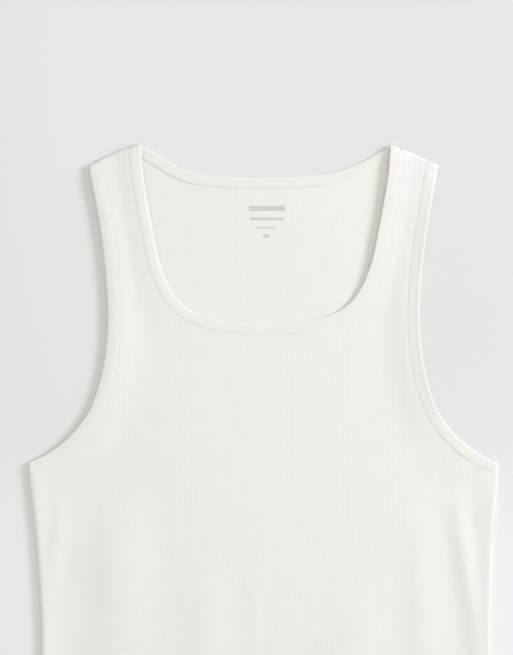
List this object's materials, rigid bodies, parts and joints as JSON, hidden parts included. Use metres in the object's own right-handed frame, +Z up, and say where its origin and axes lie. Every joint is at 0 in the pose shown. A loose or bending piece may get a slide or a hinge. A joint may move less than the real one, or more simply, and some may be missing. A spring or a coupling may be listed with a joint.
{
  "type": "tank top",
  "caption": "Fine-ribbed sleeveless tank top with a square scoop neck and bound edges, laid flat on its back.",
  "frame": {"origin": "the middle of the underside, on the surface that the garment lies on", "axes": "+X to the right as seen from above, +Y from the hem towards the shoulders, +Z up from the surface"},
  "size_m": [0.4426, 0.7, 0.0067],
  "materials": {
    "rib_knit": "soft matt rib knit, cream",
    "binding": "soft matt folded binding, cream"
  },
  "bodies": {
    "root": {"back_panel": "rib_knit", "front_panel": "rib_knit", "neck_binding": "binding", "armhole_binding_right_in_view": "binding", "armhole_binding_left_in_view": "binding"}
  },
  "joints": []
}
